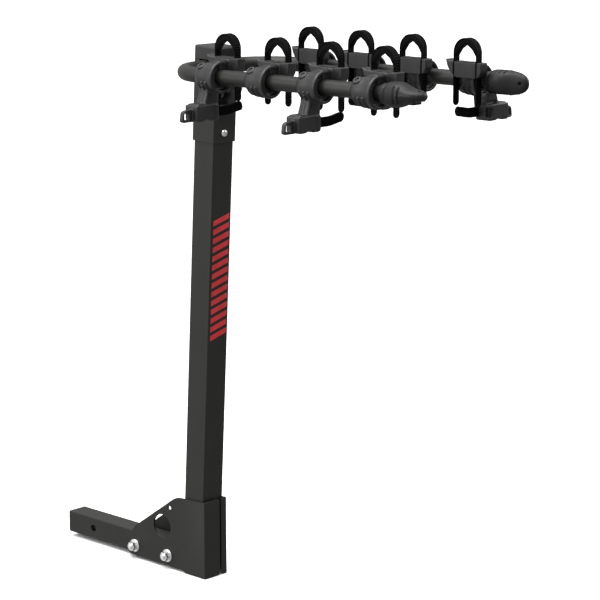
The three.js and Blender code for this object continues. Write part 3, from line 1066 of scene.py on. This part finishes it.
def build_cradles():
    """Eight cradles from shared meshes, each riding on its own body."""
    bodies, straps, pads, tails = {}, {}, {}, {}
    for side, mirror in ((-1, Matrix.Identity(4)), (1, Matrix.Scale(-1, 4, (0, 1, 0)))):
        for sways in (False, True):
            name = f"cradle_{'sway' if sways else 'plain'}_{'left' if side < 0 else 'right'}"
            bodies[side, sways] = to_mesh(
                placed(cradle_body(side, sways), mirror), name, CRADLE, 55
            )
        straps[side] = to_mesh(
            placed(fused(frame_strap(), arch_pad()), mirror), "frame_strap", RUBBER, 35
        )
        pads[side] = to_mesh(placed(saddle_pad(), mirror), "saddle_pad", PAD, 35)
        tails[side] = to_mesh(placed(sway_strap(side), mirror), "sway_strap", RUBBER, 35)
    for side_name, side in (("left", -1), ("right", 1)):
        for i in range(4):
            place = f"{side_name}_{i + 1}"
            where = PIVOT + Vector((FIRST_CRADLE + i * CRADLE_PITCH, side * HALF_SPACING, 0))
            body = f"cradle_{place}"
            sways = place in SWAY_PLACES
            show(
                f"cradle_{place}_moulded", bodies[side, sways], body,
                (f"cradle_{place}",), where,
            )
            show(
                f"strap_{place}_ladder", straps[side], body,
                (f"strap_{place}",), where,
            )
            show(f"saddle_pad_{place}", pads[side], body, (), where)
            if sways:
                show(
                    f"sway_strap_{place}_ladder", tails[side], body,
                    (f"sway_strap_{place}",), where,
                )


# ---------------------------------------------------------------- graphic on the mast


def build_graphic():
    """Plain slanted red bars down the mast's rear face: a generic pattern with no letters."""
    low, high, count = 513.0, 788.0, 14
    pitch = (high - low) / count
    slant, half, thick = 6.5, 24.0, 0.30 * pitch
    bars = []
    for i in range(count):
        z = low + (i + 0.5) * pitch
        outline = [
            (-half, z - slant - thick), (half, z + slant - thick),
            (half, z + slant + thick), (-half, z - slant + thick),
        ]
        bars.append(prism(outline, "yz", MAST_HALF + 0.03, MAST_HALF + 0.18))
    mesh = to_mesh(placed(joined(*bars), MAST_SPACE), "red_bars", RED, 30)
    show("mast_graphic_bars", mesh, "mast_frame")


# ---------------------------------------------------------------- studio


def build_floor():
    """A wide pale floor just under the object, which lights nothing by itself."""
    half = 2000.0
    z = cad_bounds[0].z - 0.0008
    mesh = bpy.data.meshes.new("floor")
    corners = [(-half, -half, z), (half, -half, z), (half, half, z), (-half, half, z)]
    mesh.from_pydata(corners, [], [(0, 1, 2, 3)])
    mesh.materials.append(floor_paper())
    floor = bpy.data.objects.new("floor", mesh)
    bpy.context.scene.collection.objects.link(floor)

    floor.visible_glossy = False
    floor.visible_diffuse = False


def build_world():
    """Soft light all round, bright from the upper front left and dim from the rear right."""
    world = bpy.data.worlds.new("studio")
    bpy.context.scene.world = world
    world.use_nodes = True
    tree = world.node_tree
    direction = tree.nodes.new("ShaderNodeTexCoord").outputs["Generated"]
    facing = tree.nodes.new("ShaderNodeVectorMath")
    facing.operation = "DOT_PRODUCT"
    facing.inputs[1].default_value = Vector((-0.52, -0.72, 0.46)).normalized()
    tree.links.new(direction, facing.inputs[0])
    share = tree.nodes.new("ShaderNodeMapRange")
    share.inputs["From Min"].default_value = -1.0
    tree.links.new(facing.outputs["Value"], share.inputs["Value"])
    levels = [(0.0, 0.34), (0.3, 0.37), (0.6, 0.50), (0.85, 0.84), (1.0, 1.0)]
    sky = ramp(tree, share.outputs["Result"], [(at, (v, v, v)) for at, v in levels])
    background = tree.nodes["Background"]
    tree.links.new(sky, background.inputs["Color"])
    background.inputs["Strength"].default_value = 1.0


def softbox(name, offset, width, height, power):
    """A rectangular light that faces the middle of the object, in metres and watts."""
    centre = Vector((0.42, 0.0, 0.6))
    data = bpy.data.lights.new(name, "AREA")
    data.shape = "RECTANGLE"
    data.size, data.size_y = width, height
    data.energy = power
    lamp = bpy.data.objects.new(name, data)
    lamp.location = centre + Vector(offset)
    lamp.rotation_mode = "QUATERNION"
    lamp.rotation_quaternion = (lamp.location - centre).to_track_quat("Z", "Y")
    bpy.context.scene.collection.objects.link(lamp)


def build_lights():
    """A wide overhead light that keeps the floor white, and three softboxes."""
    overhead = bpy.data.lights.new("overhead", "SUN")
    overhead.energy, overhead.angle = 3.4, math.radians(70)
    lamp = bpy.data.objects.new("overhead", overhead)
    lamp.location = (0, 0, 4)
    bpy.context.scene.collection.objects.link(lamp)
    softbox("key", (-1.4, -3.0, 1.6), 1.6, 2.2, 45)
    softbox("top", (0.2, -0.9, 2.4), 2.4, 0.35, 40)
    softbox("back", (1.6, 2.8, 1.8), 2.0, 1.4, 30)


def build_camera():
    """The photograph's viewpoint, in metres."""
    distance = 5.0088
    azimuth, elevation = math.radians(42.966), math.radians(11.571)
    right = Vector((math.cos(azimuth), math.sin(azimuth), 0.0))
    back = Vector(
        (
            math.sin(azimuth) * math.cos(elevation),
            -math.cos(azimuth) * math.cos(elevation),
            math.sin(elevation),
        )
    )
    up = back.cross(right)
    target = right * 0.46687 + Vector((0.0, 0.0, 0.54209))
    data = bpy.data.cameras.new("camera")
    data.sensor_width = 36.0
    data.lens = 130.53
    data.clip_start, data.clip_end = 0.1, 4000.0
    camera = bpy.data.objects.new("camera", data)
    turn = Matrix((right, up, back)).transposed().to_4x4()
    camera.matrix_world = Matrix.Translation(target + back * distance) @ turn
    bpy.context.scene.collection.objects.link(camera)
    bpy.context.scene.camera = camera


build_camera()
build_floor()
build_world()
build_lights()
finish_frame()
finish_fasteners()
finish_sleeve_screw()
finish_spring()
finish_arm_tube()
finish_end_caps()
build_cradles()
build_graphic()
bpy.context.scene.view_settings.view_transform = "Standard"
